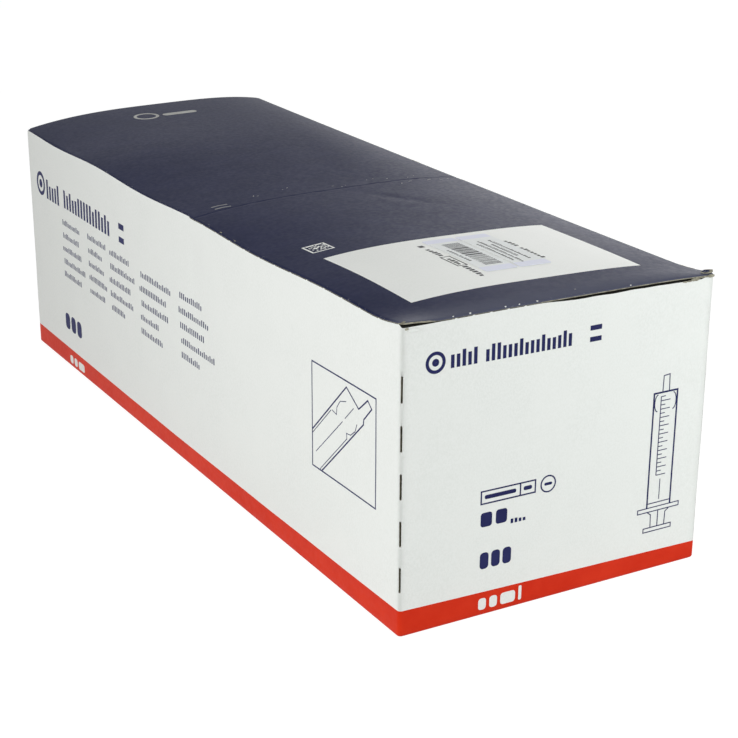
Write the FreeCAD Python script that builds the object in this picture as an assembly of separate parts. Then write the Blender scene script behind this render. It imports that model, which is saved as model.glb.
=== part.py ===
import FreeCAD, Part
import math
import os

# Sealed folding carton of wrapped two-part syringes, with two adhesive labels on its lid.
# Millimetres, +Z up. The origin is the middle of the base, between the four upright folds.
# The end wall that tears down faces -Y, and the pictured long wall faces -X.

V = FreeCAD.Vector

# Carton, measured over its upright folds
length = 412.0
width = 145.0
height = 125.0
board = 0.8
upright_fold_radius = 1.5
base_fold_radius = 1.1
top_fold_radius = 1.0

# Panels pushed out by the packed contents
side_bulge = 2.0
end_bulge = 0.9
wall_overrun = 12.0
side_points = 7
end_points = 5

# Crown of the top panel: how far it rises over a straight line between its long edges
crown_rear = 4.8
crown_front = 1.1
crown_rise_power = 32
crown_left_power = 2.6
crown_right_power = 4.0
crown_skew = -0.15

# Long edges of the top panel: the left one ripples, the right one climbs towards the rear,
# sags a little in between and turns up again at the lid's front corner
ripple_depth = 1.4
ripple_length = 125.0
ripple_peak = 100.0
ripple_fade_power = 8
right_front_drop = 2.0
right_rear_lift = 5.4
right_sag = 0.7
right_corner_lift = 1.8
right_corner_reach = 12.0

# Front left corner of the lid, bent up over the worn end of the fold
left_corner_lift = 1.6
left_corner_reach = 11.0

# Cross crease where the lid hinges, in front of the middle
crease_y = -20.0
crease_dip = 1.3
crease_spread = 40.0
crease_groove_radius = 0.6
crease_groove_depth = 0.35

# Torn-free lid edge: a thin gap under the lid board, bridged by nicks
lid_gap = 0.35
lid_gap_open = 0.9
lid_gap_depth = 2.5
lid_open_start_x = 2.0
front_nick_pitch = 7.6
side_nick_pitch = 14.2
nick_width = 0.7

# Gap under that corner, which closes to the right
corner_gap_height = 1.3
corner_gap_length = 15.0
corner_gap_depth = 5.0

# Tear slots down the two front folds
slot_count = 5
slot_length = 10.5
slot_pitch = 19.2
slot_width = 1.0
slot_depth = 2.2

# Raw edges of the glued flaps at the base and at the rear fold
flap_seam_gap = 0.4
flap_seam_depth = 0.8
lap_seam_inset = 2.5
seam_end_inset = 3.0
base_seam_lift = 0.6

# Small holes where three folds meet
corner_hole_radius = 0.9

# Adhesive labels on the lid window
label_length = 49.0
label_width = 15.0
label_thickness = 0.15
label_glue_line = 0.03
label_corner_radius = 1.0
label_space = 1.2
label_pair_x = 2.0
label_front_inset = 34.5

# Grid of the top surface
top_columns = 21
top_rows = 51
top_margin = 5.0
sheet_reach = 20.0

half_length = length / 2
half_width = width / 2
label_y = -half_length + label_front_inset + label_length / 2
slot_angle = 45.0


def ripple(y):
    """Dip of the left long edge at y, none at the corners."""
    t = y / half_length
    fade = max(0.0, 1 - abs(t) ** ripple_fade_power)
    wave = (1 - math.cos(2 * math.pi * (y - ripple_peak) / ripple_length)) / 2
    return ripple_depth * wave * fade


def right_edge(y):
    """Height of the right long edge at y over the corners."""
    t = y / half_length
    climb = (right_front_drop + right_rear_lift) * (1 + t) / 2 - right_front_drop
    turned_up = right_corner_lift * math.exp(-((y + half_length) / right_corner_reach) ** 2)
    return climb - right_sag * (1 - t * t) + turned_up


def edge_line(x, y):
    """Height over the corners of a straight line between the long edges."""
    u = x / half_width
    return -ripple(y) * (1 - u) / 2 + right_edge(y) * (1 + u) / 2


def crown(x, y):
    """Rise of the top panel over that line."""
    u = x / half_width
    from_rear = (1 - y / half_length) / 2
    rise = crown_rear - (crown_rear - crown_front) * abs(from_rear) ** crown_rise_power
    dip = crease_dip * math.exp(-((y - crease_y) / crease_spread) ** 2)
    power = crown_left_power if u < 0 else crown_right_power
    across = (1 - abs(u) ** power) * (1 + crown_skew * u)
    return (rise - dip) * across


def corner_lift(x, y):
    """Rise of the lid towards its bent front left corner."""
    off = ((x + half_width) ** 2 + (y + half_length) ** 2) / left_corner_reach ** 2
    return left_corner_lift * math.exp(-off)


def top_height(x, y):
    return height + edge_line(x, y) + crown(x, y) + corner_lift(x, y)


def top_face(offset):
    """The top surface as one spline face, a little wider than the carton."""
    reach_x = half_width + top_margin
    reach_y = half_length + top_margin
    rows = []
    for i in range(top_columns):
        x = -reach_x + 2 * reach_x * i / (top_columns - 1)
        row = []
        for j in range(top_rows):
            y = -reach_y + 2 * reach_y * j / (top_rows - 1)
            row.append(V(x, y, top_height(x, y) + offset))
        rows.append(row)
    surface = Part.BSplineSurface()
    surface.interpolate(rows)
    return surface.toShape()


def crown_sheet(low, high):
    """A sheet that follows the top, from low to high over its surface."""
    return top_face(low).extrude(V(0, 0, high - low))


def bulged_side(start, end, bulge, points):
    """Spline from start to end, pushed out by bulge at its middle and straight at its ends."""
    along = end - start
    outward = V(along.y, -along.x, 0).normalize()
    steps = []
    for i in range(points):
        t = 2 * i / (points - 1) - 1
        push = bulge * (1 - t * t) ** 2
        steps.append(start + along * (i / (points - 1)) + outward * push)
    tangent = V(along).normalize()
    curve = Part.BSplineCurve()
    curve.interpolate(Points=steps, InitialTangent=tangent, FinalTangent=tangent)
    return curve.toShape()


def corner_arc(cx, cy, start_angle):
    """Quarter round of an upright fold."""
    points = []
    for part in (0, 0.5, 1):
        angle = math.radians(start_angle + 90 * part)
        points.append(V(cx + upright_fold_radius * math.cos(angle), cy + upright_fold_radius * math.sin(angle), 0))
    return Part.Arc(*points).toShape()


def plan_outline(z, share):
    """Outline of the four walls at level z, anticlockwise, with a share of the bulge."""
    x = half_width - upright_fold_radius
    y = half_length - upright_fold_radius
    edges = [
        bulged_side(V(-x, -half_length, 0), V(x, -half_length, 0), end_bulge * share, end_points),
        corner_arc(x, -y, -90),
        bulged_side(V(half_width, -y, 0), V(half_width, y, 0), side_bulge * share, side_points),
        corner_arc(x, y, 0),
        bulged_side(V(x, half_length, 0), V(-x, half_length, 0), end_bulge * share, end_points),
        corner_arc(-x, y, 90),
        bulged_side(V(-half_width, y, 0), V(-half_width, -y, 0), side_bulge * share, side_points),
        corner_arc(-x, -y, 180),
    ]
    wire = Part.Wire(edges)
    wire.translate(V(0, 0, z))
    return wire


def walls():
    """The filled tube of four walls, flat below, running on past the top."""
    levels = [plan_outline(0, 0), plan_outline(height / 2, 1), plan_outline(height + wall_overrun, 0)]
    tube = Part.makeLoft(levels, True, False)
    base_edges = []
    for edge in tube.Edges:
        if edge.BoundBox.ZMax < board:
            base_edges.append(edge)
    return tube.makeFillet(base_fold_radius, base_edges)


def box_between(x0, x1, y0, y1, z0, z1):
    return Part.makeBox(x1 - x0, y1 - y0, z1 - z0, V(x0, y0, z0))


def stretches(start, end, pitch):
    """Cut stretches between the nicks from start to end."""
    count = max(1, round((end - start) / pitch))
    step = (end - start) / count
    found = []
    for i in range(count):
        found.append((start + i * step + nick_width / 2, start + (i + 1) * step - nick_width / 2))
    return found


def lid_gap_tools():
    """The gap under the lid board along the front and along both long edges up to the crease."""
    z0 = height - sheet_reach
    z1 = height + sheet_reach
    inner_x = half_width - lid_gap_depth
    outer_x = half_width + top_margin
    inner_y = -half_length + lid_gap_depth
    outer_y = -half_length - top_margin
    closed = []
    opened = []
    for a, b in stretches(-half_width, half_width, front_nick_pitch):
        strip = box_between(a, b, outer_y, inner_y, z0, z1)
        if a < lid_open_start_x:
            closed.append(strip)
        else:
            opened.append(strip)
    for a, b in stretches(inner_y, crease_y, side_nick_pitch):
        closed.append(box_between(-outer_x, -inner_x, a, b, z0, z1))
        closed.append(box_between(inner_x, outer_x, a, b, z0, z1))
    thin = crown_sheet(-board - lid_gap, -board)
    wide = crown_sheet(-board - lid_gap_open, -board)
    tools = []
    for strip in closed:
        tools.append(strip.common(thin))
    for strip in opened:
        tools.append(strip.common(wide))
    return tools


def corner_gap():
    """Wedge-shaped gap under the lifted front left corner of the lid."""
    mouth_x = -half_width - top_margin
    mouth_y = -half_length - top_margin
    end_x = -half_width + corner_gap_length
    low = top_height(-half_width, -half_length) - board - corner_gap_height
    closed = top_height(end_x, -half_length) - board
    points = [V(mouth_x, mouth_y, low), V(end_x, mouth_y, closed), V(end_x, mouth_y, closed + sheet_reach),
              V(mouth_x, mouth_y, closed + sheet_reach), V(mouth_x, mouth_y, low)]
    side = Part.Face(Part.makePolygon(points))
    wedge = side.extrude(V(0, top_margin + corner_gap_depth, 0))
    return wedge.common(crown_sheet(-sheet_reach, -board))


def slot(x, y, z, turn):
    """One rounded tear slot through an upright fold at height z."""
    half = slot_length / 2 - slot_width / 2
    r = slot_width / 2
    reach = slot_depth + top_margin
    left = Part.LineSegment(V(0, -r, -half), V(0, -r, half))
    crest = Part.Arc(V(0, -r, half), V(0, 0, half + r), V(0, r, half))
    right = Part.LineSegment(V(0, r, half), V(0, r, -half))
    foot = Part.Arc(V(0, r, -half), V(0, 0, -half - r), V(0, -r, -half))
    outline = Part.Wire([left.toShape(), crest.toShape(), right.toShape(), foot.toShape()])
    tool = Part.Face(outline).extrude(V(reach, 0, 0))
    tool.translate(V(-slot_depth, 0, 0))
    tool.rotate(V(0, 0, 0), V(0, 0, 1), turn)
    tool.translate(V(x, y, z))
    return tool


def tear_slots():
    """The two rows of slots that free the front panel."""
    inset = upright_fold_radius * (1 - math.sqrt(0.5))
    tools = []
    for i in range(slot_count):
        z = height / 2 + (i - (slot_count - 1) / 2) * slot_pitch
        tools.append(slot(-half_width + inset, -half_length + inset, z, 180 + slot_angle))
        tools.append(slot(half_width - inset, -half_length + inset, z, -slot_angle))
    return tools


def flap_seams():
    """Raw edges of the outer base flap, on the right, and of the glue lap, on the rear."""
    inner = half_width - flap_seam_depth
    outer = half_width + top_margin
    end_y = half_length - upright_fold_radius - seam_end_inset
    z = base_fold_radius + base_seam_lift
    base_seam = box_between(inner, outer, -end_y, end_y, z, z + flap_seam_gap)
    x = half_width - upright_fold_radius - lap_seam_inset
    lap_seam = box_between(x - flap_seam_gap, x, half_length - flap_seam_depth, half_length + top_margin,
                           seam_end_inset, height - seam_end_inset)
    return [base_seam, lap_seam]


def corner_holes():
    """Pinholes at the two rear corners of the top, where the folds meet."""
    tools = []
    for side in (-1, 1):
        x = side * half_width
        tools.append(Part.makeSphere(corner_hole_radius, V(x, half_length, top_height(x, half_length))))
    return tools


def crease_groove():
    """Round groove of the cross crease, running over the crown."""
    points = []
    for i in range(top_columns):
        x = -half_width - top_margin + (width + 2 * top_margin) * i / (top_columns - 1)
        z = top_height(x, crease_y) + crease_groove_radius - crease_groove_depth
        points.append(V(x, crease_y, z))
    path = Part.BSplineCurve()
    path.interpolate(points)
    tangent = path.tangent(path.FirstParameter)[0]
    ring = Part.Wire(Part.makeCircle(crease_groove_radius, points[0], tangent))
    return Part.Wire(path.toShape()).makePipeShell([ring], True, True)


def folded_rear(body):
    """Rounds the top folds behind the crease, where the panel is folded and not cut."""
    reach_x = half_width + top_margin
    reach_y = half_length + top_margin
    top = height + sheet_reach
    lid_end = body.common(box_between(-reach_x, reach_x, -reach_y, crease_y, -board, top))
    rear_end = body.common(box_between(-reach_x, reach_x, crease_y, reach_y, -board, top))
    folds = []
    for edge in rear_end.Edges:
        box = edge.BoundBox
        if box.ZMin > height / 2 and box.YMax > crease_y + board:
            folds.append(edge)
    return lid_end.fuse(rear_end.makeFillet(top_fold_radius, folds)).removeSplitter()


def make_carton():
    body = folded_rear(walls().common(crown_sheet(-height - sheet_reach, 0)))
    tools = lid_gap_tools() + [corner_gap()] + tear_slots() + flap_seams() + corner_holes() + [crease_groove()]
    return body.cut(tools)


def make_label(x):
    """Label on its glue line, following the crown, with round corners."""
    blank = box_between(x - label_width / 2, x + label_width / 2, label_y - label_length / 2,
                        label_y + label_length / 2, height - sheet_reach, height + sheet_reach)
    upright = [edge for edge in blank.Edges if edge.BoundBox.ZLength > sheet_reach]
    blank = blank.makeFillet(label_corner_radius, upright)
    return blank.common(crown_sheet(label_glue_line, label_glue_line + label_thickness))


def export(shape, node):
    print(node, "solids", len(shape.Solids), "faces", len(shape.Faces), "valid", shape.isValid(),
          "volume", round(shape.Volume), "box", shape.BoundBox)
    shape.exportStep("parts/" + node + ".step")


os.makedirs("parts", exist_ok=True)
label_offset = (label_width + label_space) / 2
export(make_carton(), "carton")
export(make_label(label_pair_x - label_offset), "barcode_label")
export(make_label(label_pair_x + label_offset), "text_label")
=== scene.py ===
import random
from math import ceil, copysign, cos, exp, hypot, pi, radians, sin, sqrt

import bmesh
import bpy
from mathutils import Matrix, Vector, noise


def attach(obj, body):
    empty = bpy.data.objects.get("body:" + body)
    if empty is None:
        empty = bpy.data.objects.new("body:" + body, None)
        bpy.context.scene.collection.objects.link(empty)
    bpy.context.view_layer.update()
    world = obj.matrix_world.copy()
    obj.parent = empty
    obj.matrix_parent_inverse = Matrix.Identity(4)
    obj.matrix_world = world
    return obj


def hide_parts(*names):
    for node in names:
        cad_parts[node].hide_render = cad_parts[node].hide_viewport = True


# Looks of a sealed folding carton of syringes: white-lined board with a navy lid and a red foot band.
# Sizes below are millimetres on the carton, and to_metres() scales them for the meshes.

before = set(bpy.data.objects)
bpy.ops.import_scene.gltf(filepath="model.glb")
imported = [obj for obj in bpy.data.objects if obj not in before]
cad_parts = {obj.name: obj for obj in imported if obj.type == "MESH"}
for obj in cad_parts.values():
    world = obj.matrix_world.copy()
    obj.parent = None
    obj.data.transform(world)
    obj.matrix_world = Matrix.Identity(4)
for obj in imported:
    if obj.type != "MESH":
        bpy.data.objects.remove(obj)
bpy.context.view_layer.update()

# Carton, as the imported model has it
LENGTH = 412.0
WIDTH = 145.0
HEIGHT = 125.0
BOARD = 0.8
HALF_LENGTH = LENGTH / 2
HALF_WIDTH = WIDTH / 2
UPRIGHT_RADIUS = 1.5
BASE_RADIUS = 1.1
FOLD_RADIUS = 1.0
CUT_RADIUS = 0.65
CUT_RADIUS_OPEN = 0.45
CUT_RADIUS_BARE = 0.2
TOP_INSET = 1.0

# Bulge of the walls, with room left for their small waves
SIDE_BULGE = 1.8
END_BULGE = 0.75
WALL_OVERRUN = 12.0
WAVE_DEPTH = 0.17
WAVE_LENGTH = 38.0
WAVE_FADE = 14.0
WAVE_END = 3.0

# Crown and long edges of the top
CROWN_REAR = 4.76
CROWN_FRONT = 1.1
CROWN_RISE_POWER = 32
CROWN_LEFT_POWER = 2.6
CROWN_RIGHT_POWER = 4.0
CROWN_SKEW = -0.15
RIPPLE_DEPTH = 1.4
RIPPLE_LENGTH = 125.0
RIPPLE_PEAK = 100.0
RIPPLE_FADE_POWER = 8
RIGHT_FRONT_DROP = 2.0
RIGHT_REAR_LIFT = 5.4
RIGHT_SAG = 0.7
RIGHT_CORNER_LIFT = 1.8
RIGHT_CORNER_REACH = 12.0
LEFT_CORNER_LIFT = 1.6
LEFT_CORNER_REACH = 11.0

# Cross crease, a little askew. Uneven values are level, swing and wave length
CREASE_Y = -20.0
CREASE_SKEW = 5.0
CREASE_DIP = 1.3
CREASE_SPREAD = 40.0
GROOVE_DEPTH = 0.24
GROOVE_WIDTH = 0.7
GROOVE_STEP = 0.45
GROOVE_WANDER = 0.5
GROOVE_WANDER_LENGTH = 7.0
GROOVE_UNEVEN = (0.8, 0.6, 5.0)

# Soft dents: middle, half lengths along and across, turn in degrees, depth
LID_DENTS = (
    ((19.5, -50.0), 19.0, 3.5, -62.0, 0.3),
    ((-48.0, 120.0), 26.0, 6.0, 60.0, 0.35),
    ((30.0, 60.0), 40.0, 9.0, 75.0, 0.3),
)
LID_DENT_FADE = 12.0
WALL_DENT_Y = -24.0
WALL_DENT_Z = 108.0
WALL_DENT_DEPTH = 0.75
WALL_DENT_REACH = (8.0, 15.0)

# Gap under the lid board and its nicks
LID_GAP = 0.22
LID_GAP_OPEN = 1.05
LID_GAP_DEPTH = 2.5
LID_OPEN = (-12.0, 66.0)
LID_OPEN_RISE = 18.0
LID_GAP_UNEVEN = (0.25, 9.0)
BARE_CORNER_X = -60.0
FRONT_NICK_PITCH = 7.6
SIDE_NICK_PITCH = 14.2
NICK_WIDTH = 0.7
NICK_EASE = 0.3
CORNER_GAP_HEIGHT = 1.3
CORNER_GAP_REACH = 13.0
CORNER_GAP_LEAST = 0.15
CORNER_GAP_FADE = 2.5

# Tear slots down the front folds
SLOT_COUNT = 5
SLOT_LENGTH = 10.5
SLOT_PITCH = 19.2
SLOT_WIDTH = 0.8
SLOT_DEPTH = 2.2
SLOT_SIDES = 6

# Raw edges of the base flap and of the glue lap, and the rear pinholes
SEAM_GAP = 0.4
SEAM_DEPTH = 0.8
BASE_SEAM_Z = 1.7
BASE_SEAM_END = 201.5
LAP_SEAM_X = 68.5
LAP_SEAM_END = 3.0
HOLE_RADIUS = 1.4
HOLE_INSET = 0.7

# Share and reach of the wear, width of the painted shade along the upright folds, painted sheen on the lid
WEAR_FOLD = (0.5, 2.5)
WEAR_FOOT = (0.5, 1.0)
WEAR_RIM = (0.8, 0.8)
FOLD_SHADE_WIDTH = 2.2
# Painted sheen on the lid: share and reach at the front strip, share and start at the rear
PAINTED_SHEEN = 0.45
PAINTED_SHEEN_REACH = 8.0
REAR_PAINTED_SHEEN = 0.24
REAR_PAINTED_SHEEN_START = 20.0

# Mesh density
GRID_STEP = 2.6
BAND_ROWS = 4
WALL_ROWS = 36
MERGE = 1e-6
SHARP_ANGLE = 38

# Printed fields
BAND_HEIGHT = 9.6
BAND_SLOPE = 0.022
BAND_SAG = 0.9
WINDOW_X = (-57.5, 51.5)
WINDOW_Y = (-187.0, -118.0)
INK_LOW = -0.02
INK_HIGH = 0.06
PRINT_STEP = 8.0

# Labels
LABEL_TOP = 0.18
LABEL_LENGTH = 49.0
LABEL_Y = -147.0
LABEL_END_FIELD = 5.5

# Camera of the photograph
CAMERA_AT = (-361.6, -687.7, 307.2)
CAMERA_YAW = 29.77
CAMERA_PITCH = -19.42
CAMERA_ROLL = 0.26
CAMERA_LENS = 80.6
SENSOR = 36.0

# Lamps: name, place, aim, size in metres, power, colour, spread in degrees
LAMPS = (
    ("side", (-0.95, -0.45, 0.5), (-0.07, -0.15, 0.06), 0.6, 2.5, (0.97, 1, 1), 100),
    ("front", (0.44, -0.63, 0.27), (0.05, -0.2, 0.06), 0.5, 2.75, (0.95, 1, 1), 180),
    ("sheen", (2.0, 2.15, 0.72), (0.0, 0.0, 0.12), 1.2, 12.5, (1, 1, 1), 180),
)

# Even light all round, and the floor in metres
WORLD_COLOUR = (1, 1, 0.985, 1)
WORLD_STRENGTH = 0.33
FLOOR_SIZE = 12
FLOOR_DROP = 0.0001
FLOOR_COLOUR = (0.6, 0.6, 0.6, 1)
FLOOR_GLOW = 1.5
FLOOR_GLOW_SHARE = 0.6
PURE_WHITE = (1, 1, 1, 1)

# The last material slot is the painted shade inside the gaps and pinholes
WHITE, RED, NAVY, RAW, INNER_SHADE = range(5)


def to_metres(point):
    return tuple(value / 1000 for value in point)


def smooth(t):
    """Eases from 0 to 1."""
    t = min(1.0, max(0.0, t))
    return t * t * (3 - 2 * t)


# Camera, light and floor

def make_camera():
    data = bpy.data.cameras.new("camera")
    data.sensor_width = SENSOR
    data.lens = CAMERA_LENS
    data.clip_start = 0.01
    data.clip_end = 50
    camera = bpy.data.objects.new("camera", data)
    turn = Matrix.Rotation(radians(-CAMERA_YAW), 4, "Z")
    tilt = Matrix.Rotation(radians(90 + CAMERA_PITCH), 4, "X")
    roll = Matrix.Rotation(radians(CAMERA_ROLL), 4, "Z")
    camera.matrix_world = Matrix.Translation(to_metres(CAMERA_AT)) @ turn @ tilt @ roll
    bpy.context.collection.objects.link(camera)
    bpy.context.scene.camera = camera


def soft_light(name, at, target, size, power, colour, spread):
    data = bpy.data.lights.new(name, "AREA")
    data.shape = "DISK"
    data.size = size
    data.spread = radians(spread)
    data.energy = power
    data.color = colour
    light = bpy.data.objects.new(name, data)
    light.location = at
    aim = Vector(target) - Vector(at)
    light.rotation_euler = aim.to_track_quat("-Z", "Y").to_euler()
    bpy.context.collection.objects.link(light)


def add(tree, kind, inputs=None, **settings):
    """New node with its input values and settings."""
    made = tree.nodes.new(kind)
    for key, value in settings.items():
        setattr(made, key, value)
    for key, value in (inputs or {}).items():
        if isinstance(value, bpy.types.NodeSocket):
            tree.links.new(value, made.inputs[key])
        else:
            made.inputs[key].default_value = value
    return made


def fresh_tree(owner):
    owner.use_nodes = True
    owner.node_tree.nodes.clear()
    return owner.node_tree


def seen_directly(tree):
    """1 for camera, glossy and transmission rays."""
    rays = add(tree, "ShaderNodeLightPath").outputs
    seen = rays["Is Camera Ray"]
    for kind in ("Is Glossy Ray", "Is Transmission Ray"):
        seen = add(tree, "ShaderNodeMath", {0: seen, 1: rays[kind]}, operation="MAXIMUM").outputs[0]
    return seen


def make_world():
    """Even pale studio light, plain white where it is seen or mirrored."""
    world = bpy.data.worlds.new("studio")
    tree = fresh_tree(world)
    light = add(tree, "ShaderNodeBackground", {"Color": WORLD_COLOUR, "Strength": WORLD_STRENGTH})
    shown = add(tree, "ShaderNodeBackground", {"Color": PURE_WHITE})
    mix = add(tree, "ShaderNodeMixShader", {0: seen_directly(tree), 1: light.outputs[0], 2: shown.outputs[0]})
    add(tree, "ShaderNodeOutputWorld", {"Surface": mix.outputs[0]})
    bpy.context.scene.world = world


def make_floor():
    """Pale floor that keeps the shadow and reads as white away from it."""
    bpy.ops.mesh.primitive_plane_add(size=FLOOR_SIZE)
    floor = bpy.context.object
    floor.name = "floor"
    floor.location.z = -FLOOR_DROP
    material = bpy.data.materials.new("pale_floor")
    tree = fresh_tree(material)
    share = add(tree, "ShaderNodeMath", {0: seen_directly(tree), 1: FLOOR_GLOW_SHARE}, operation="MULTIPLY")
    matt = add(tree, "ShaderNodeBsdfDiffuse", {"Color": FLOOR_COLOUR})
    glow = add(tree, "ShaderNodeEmission", {"Color": PURE_WHITE, "Strength": FLOOR_GLOW})
    mix = add(tree, "ShaderNodeMixShader", {0: share.outputs[0], 1: matt.outputs[0], 2: glow.outputs[0]})
    add(tree, "ShaderNodeOutputMaterial", {"Surface": mix.outputs[0]})
    floor.data.materials.append(material)


# Materials

def start_material(name):
    material = bpy.data.materials.new(name)
    tree = fresh_tree(material)
    where = add(tree, "ShaderNodeTexCoord").outputs["Object"]
    return material, tree, where


def mix_colour(tree, factor, first, second):
    inputs = {0: factor, 6: first, 7: second}
    return add(tree, "ShaderNodeMix", inputs, data_type="RGBA").outputs[2]


def ramp(tree, value, low, high, to_low=0.0, to_high=1.0):
    """Value eased from low..high to to_low..to_high."""
    inputs = {"Value": value, "From Min": low, "From Max": high, "To Min": to_low, "To Max": to_high}
    return add(tree, "ShaderNodeMapRange", inputs, interpolation_type="SMOOTHSTEP").outputs[0]


def noise_value(tree, where, scale, detail=2.0, rough=0.5, stretch=None):
    if stretch:
        where = add(tree, "ShaderNodeMapping", {"Vector": where, "Scale": stretch}).outputs[0]
    inputs = {"Vector": where, "Scale": scale, "Detail": detail, "Roughness": rough}
    return add(tree, "ShaderNodeTexNoise", inputs).outputs["Fac"]


def finish_material(tree, colour, roughness, specular, bumps):
    """Principled surface with bumps of (height, distance in metres, strength)."""
    normal = None
    for height, distance, strength in bumps:
        inputs = {"Height": height, "Distance": distance, "Strength": strength}
        if normal:
            inputs["Normal"] = normal
        normal = add(tree, "ShaderNodeBump", inputs).outputs[0]
    inputs = {"Base Color": colour, "Roughness": roughness, "Specular IOR Level": specular, "Normal": normal}
    surface = add(tree, "ShaderNodeBsdfPrincipled", inputs)
    add(tree, "ShaderNodeOutputMaterial", {"Surface": surface.outputs[0]})


def board_bumps(tree, where, fibre=0.2):
    fine = noise_value(tree, where, 1700, 3, 0.65, (1, 1, 0.7))
    soft = noise_value(tree, where, 70, 2, 0.5)
    return [(soft, 0.0003, 0.3), (fine, 0.00004, fibre)]


def stored_value(tree, name):
    """Value that the mesh stores at its points."""
    return add(tree, "ShaderNodeAttribute", attribute_name=name).outputs["Fac"]


def wear_mask(tree, where, scale, low, high):
    """Patches and specks where the wear of the mesh is high."""
    patches = ramp(tree, noise_value(tree, where, scale, 4, 0.7), low, high)
    inputs = {0: stored_value(tree, "wear"), 1: patches}
    return add(tree, "ShaderNodeMath", inputs, operation="MULTIPLY").outputs[0]


def white_board():
    """Coated white lining: faint cloudy mottling, a fine grain, a weak varnish and a painted grey shade along
    the upright folds.
    """
    material, tree, where = start_material("white_board")
    cloud = ramp(tree, noise_value(tree, where, 38, 4, 0.6), 0.35, 0.65)
    grain = ramp(tree, noise_value(tree, where, 1400, 3, 0.7, (1, 1, 0.7)), 0.32, 0.68)
    base = mix_colour(tree, cloud, (0.79, 0.797, 0.768, 1), (0.815, 0.82, 0.79, 1))
    base = mix_colour(tree, grain, base, (0.84, 0.845, 0.82, 1))
    # Painted shade: a grey strip along the rounded upright folds, standing in for the shading of their curve
    fold_shade_mix = ramp(tree, stored_value(tree, "fold"), 0.0, 1.0, 0.0, 0.6)
    base = mix_colour(tree, fold_shade_mix, base, (0.50, 0.51, 0.49, 1))
    base = mix_colour(tree, wear_mask(tree, where, 300, 0.5, 0.75), base, (0.60, 0.60, 0.56, 1))
    finish_material(tree, base, 0.5, 0.22, board_bumps(tree, where))
    return material


def printed_ink(name, dark, light, roughness, specular, chips_and_sheen=False):
    """Ink field on the board, a little uneven, with the board's grain under it, and on the lid worn spots and
    a painted pale sheen when the last argument is set.
    """
    material, tree, where = start_material(name)
    cloud = ramp(tree, noise_value(tree, where, 60, 4, 0.6), 0.3, 0.7)
    base = mix_colour(tree, cloud, dark, light)
    if chips_and_sheen:
        base = mix_colour(tree, wear_mask(tree, where, 700, 0.60, 0.70), base, (0.25, 0.25, 0.25, 1))
        # Painted sheen: pale grey-blue mixed in where the lid would show a reflection, at its front strip and
        # rear right
        base = mix_colour(tree, stored_value(tree, "painted_sheen"), base, (0.15, 0.155, 0.20, 1))
    grain = noise_value(tree, where, 500, 3, 0.6)
    rough = ramp(tree, grain, 0.3, 0.7, roughness - 0.04, roughness + 0.05)
    finish_material(tree, base, rough, specular, board_bumps(tree, where, 0.13))
    return material


def raw_board():
    """Torn or cut grey board: coarse, matt and patchy."""
    material, tree, where = start_material("raw_board")
    patch = ramp(tree, noise_value(tree, where, 420, 5, 0.7), 0.35, 0.65)
    base = mix_colour(tree, patch, (0.17, 0.155, 0.12, 1), (0.38, 0.36, 0.28, 1))
    fine = noise_value(tree, where, 2500, 3, 0.7)
    finish_material(tree, base, 0.9, 0.2, [(patch, 0.0001, 0.6), (fine, 0.00006, 0.6)])
    return material


def inner_shade_board():
    """Inside of the gaps and pinholes, painted near black as their shade."""
    material, tree, where = start_material("inner_shade_board")
    patch = ramp(tree, noise_value(tree, where, 500, 3, 0.6), 0.35, 0.65)
    # Painted shade: near black in place of the grey board's own colour
    base = mix_colour(tree, patch, (0.025, 0.023, 0.02, 1), (0.05, 0.046, 0.038, 1))
    finish_material(tree, base, 0.9, 0.1, [(patch, 0.0001, 0.5)])
    return material


def label_paper():
    """Matt label stock with a pale violet field at both ends."""
    material, tree, where = start_material("label_paper")
    split = add(tree, "ShaderNodeSeparateXYZ", {0: where})
    inputs = {0: split.outputs["Y"], 1: -LABEL_Y / 1000}
    along = add(tree, "ShaderNodeMath", inputs, operation="ADD").outputs[0]
    away = add(tree, "ShaderNodeMath", {0: along}, operation="ABSOLUTE").outputs[0]
    field = (LABEL_LENGTH / 2 - LABEL_END_FIELD) / 1000
    ends = ramp(tree, away, field - 0.0006, field + 0.0006)
    cloud = ramp(tree, noise_value(tree, where, 300, 3, 0.6), 0.3, 0.7)
    base = mix_colour(tree, cloud, (0.775, 0.79, 0.79, 1), (0.81, 0.825, 0.825, 1))
    base = mix_colour(tree, ends, base, (0.74, 0.75, 0.86, 1))
    fine = noise_value(tree, where, 1800, 2, 0.6)
    finish_material(tree, base, 0.6, 0.3, [(fine, 0.00003, 0.3)])
    return material


# Shape of the carton

def ripple(y):
    fade = max(0.0, 1 - abs(y / HALF_LENGTH) ** RIPPLE_FADE_POWER)
    wave = (1 - cos(2 * pi * (y - RIPPLE_PEAK) / RIPPLE_LENGTH)) / 2
    return RIPPLE_DEPTH * wave * fade


def right_edge(y):
    t = y / HALF_LENGTH
    climb = (RIGHT_FRONT_DROP + RIGHT_REAR_LIFT) * (1 + t) / 2 - RIGHT_FRONT_DROP
    turned_up = RIGHT_CORNER_LIFT * exp(-((y + HALF_LENGTH) / RIGHT_CORNER_REACH) ** 2)
    return climb - RIGHT_SAG * (1 - t * t) + turned_up


def edge_line(x, y):
    u = x / HALF_WIDTH
    return -ripple(y) * (1 - u) / 2 + right_edge(y) * (1 + u) / 2


def crown(x, y):
    u = x / HALF_WIDTH
    from_rear = (1 - y / HALF_LENGTH) / 2
    rise = CROWN_REAR - (CROWN_REAR - CROWN_FRONT) * abs(from_rear) ** CROWN_RISE_POWER
    dip = CREASE_DIP * exp(-((y - CREASE_Y) / CREASE_SPREAD) ** 2)
    power = CROWN_LEFT_POWER if u < 0 else CROWN_RIGHT_POWER
    across = (1 - min(1.0, abs(u)) ** power) * (1 + CROWN_SKEW * u)
    return (rise - dip) * across


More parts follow.
